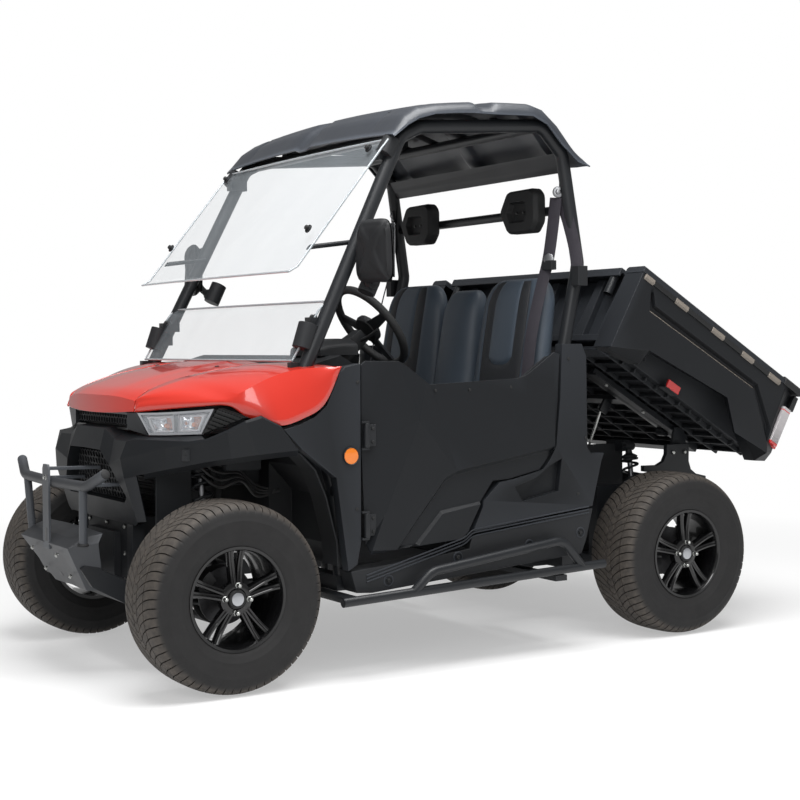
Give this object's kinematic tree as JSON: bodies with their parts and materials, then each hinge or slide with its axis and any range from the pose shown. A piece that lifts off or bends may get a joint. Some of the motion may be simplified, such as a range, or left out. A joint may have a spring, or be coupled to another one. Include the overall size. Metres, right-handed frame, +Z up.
{
  "type": "side by side utv",
  "caption": "Open-cab side by side utility vehicle with roll cage, hard roof, bench seats, swinging doors, front guard and a tipping cargo bed, shown raised.",
  "frame": {"origin": "on the ground, at the middle of the overall length and width", "axes": "+X forward, +Y to the driver's left, +Z up"},
  "size_m": [2.8743, 1.584, 1.97],
  "materials": {
    "tyre": "moulded rubber",
    "black_gloss": "gloss black paint",
    "black_frame": "satin black powder coat",
    "guard_steel": "textured dark grey powder coat",
    "red_panel": "gloss orange-red moulded colour",
    "graphite": "textured matte graphite",
    "black_plastic": "textured matte black",
    "cast": "as cast",
    "steel": "machined steel",
    "alloy": "satin aluminium",
    "clear": "clear polycarbonate",
    "lamp": "clear lens over chrome reflectors",
    "red_lamp": "red lens",
    "amber": "amber reflector",
    "vinyl": "blue-grey vinyl",
    "webbing": "dark woven webbing",
    "zinc": "zinc plated"
  },
  "bodies": {
    "chassis": {"battery_pack": "black_plastic", "brush_guard": "guard_steel", "cab_floor": "black_plastic", "chassis_frame": "black_frame", "cowl_panels": "graphite", "dashboard": "black_plastic", "door_hinges": "steel", "drive_unit": "alloy", "front_arms": "black_frame", "front_fascia": "graphite", "front_grilles": "black_plastic", "half_shafts": "steel", "headlamps": "lamp", "headrest_bar": "black_frame", "headrests": "vinyl", "hitch_receiver": "black_frame", "hood": "red_panel", "hood_side_panels": "red_panel", "mirrors": "black_plastic", "panel_brackets": "black_frame", "rear_arms": "black_frame", "rear_carriers": "cast", "rear_corner_panels": "graphite", "roll_cage": "guard_steel", "roof": "black_plastic", "seat_backs": "vinyl", "seat_base": "black_plastic", "seat_belts": "webbing", "seat_cushions": "vinyl", "shocks": "black_frame", "side_reflectors": "amber", "sills": "graphite", "steering_column": "black_frame", "steering_rack": "alloy", "step_bars": "black_frame", "strut_bracket": "black_frame", "wheel_liners": "black_plastic", "windshield_brackets": "black_plastic", "windshield_lower": "clear", "windshield_upper": "clear"},
    "wheel_fl": {"rim_front_left": "black_gloss", "tyre_front_left": "tyre"},
    "wheel_fr": {"rim_front_right": "black_gloss", "tyre_front_right": "tyre"},
    "wheel_rl": {"rim_rear_left": "black_gloss", "tyre_rear_left": "tyre"},
    "wheel_rr": {"rim_rear_right": "black_gloss", "tyre_rear_right": "tyre"},
    "knuckle_l": {"knuckle_left": "cast"},
    "knuckle_r": {"knuckle_right": "cast"},
    "steering_rods": {"steering_rods": "steel"},
    "door_l": {"door_left": "graphite"},
    "door_r": {"door_right": "graphite"},
    "bed": {"cargo_bed": "graphite", "bed_subframe": "zinc", "tail_lamps": "red_lamp"},
    "gate": {"tailgate": "graphite"},
    "steering": {"steering_wheel": "black_plastic"},
    "strut_barrel": {"strut_barrel": "black_gloss"},
    "strut_rod": {"strut_rod": "steel"}
  },
  "joints": [
    {"name": "spin_fl", "type": "hinge", "parent": "knuckle_l", "child": "wheel_fl", "pos_m": [1.055, 0.6075, 0.305], "axis": [0, 1, 0], "continuous": true},
    {"name": "spin_fr", "type": "hinge", "parent": "knuckle_r", "child": "wheel_fr", "pos_m": [1.055, -0.6075, 0.305], "axis": [0, 1, 0], "continuous": true},
    {"name": "spin_rl", "type": "hinge", "parent": "chassis", "child": "wheel_rl", "pos_m": [-0.825, 0.6075, 0.305], "axis": [0, 1, 0], "continuous": true},
    {"name": "spin_rr", "type": "hinge", "parent": "chassis", "child": "wheel_rr", "pos_m": [-0.825, -0.6075, 0.305], "axis": [0, 1, 0], "continuous": true},
    {"name": "steer_left", "type": "hinge", "parent": "chassis", "child": "knuckle_l", "pos_m": [1.055, 0.5315, 0.305], "axis": [0, 0, 1], "range_deg": [-28, 28]},
    {"name": "steer_right", "type": "hinge", "parent": "chassis", "child": "knuckle_r", "pos_m": [1.055, -0.5315, 0.305], "axis": [0, 0, 1], "range_deg": [-28, 28]},
    {"name": "steer_rods_slide", "type": "slide", "parent": "chassis", "child": "steering_rods", "axis": [0, 1, 0], "range_m": [-0.052, 0.052]},
    {"name": "steering_wheel_turn", "type": "hinge", "parent": "chassis", "child": "steering", "pos_m": [0.353, 0.355, 1.162], "axis": [-0.7986, 0, 0.6018], "range_deg": [-252, 252]},
    {"name": "door_left_swing", "type": "hinge", "parent": "chassis", "child": "door_l", "pos_m": [0.5815, 0.702, 0.6], "axis": [0, 0, -1], "range_deg": [0, 70]},
    {"name": "door_right_swing", "type": "hinge", "parent": "chassis", "child": "door_r", "pos_m": [0.5815, -0.702, 0.6], "axis": [0, 0, 1], "range_deg": [0, 70]},
    {"name": "bed_tilt", "type": "hinge", "parent": "chassis", "child": "bed", "pos_m": [-1.055, 0, 0.745], "axis": [0, 1, 0], "range_deg": [0, 30]},
    {"name": "tailgate_drop", "type": "hinge", "parent": "bed", "child": "gate", "pos_m": [-1.31087, 0, 0.68618], "axis": [0, -1, 0], "range_deg": [0, 90]},
    {"name": "strut_swing", "type": "hinge", "parent": "chassis", "child": "strut_barrel", "pos_m": [-0.695, 0.2, 0.52], "axis": [0, -1, 0], "range_deg": [0, 8.1]},
    {"name": "strut_slide", "type": "slide", "parent": "strut_barrel", "child": "strut_rod", "axis": [0.3965, 0, -0.918], "range_m": [0, 0.121]}
  ],
  "couplings": [
    {"joint": "steer_right", "follows": "steer_left", "ratio": 1},
    {"joint": "steer_rods_slide", "follows": "steer_left", "m_per_rad": -0.09895},
    {"joint": "steering_wheel_turn", "follows": "steer_left", "ratio": 9},
    {"joint": "strut_swing", "follows": "bed_tilt", "ratio": 0.25348},
    {"joint": "strut_slide", "follows": "bed_tilt", "m_per_rad": 0.22724}
  ]
}
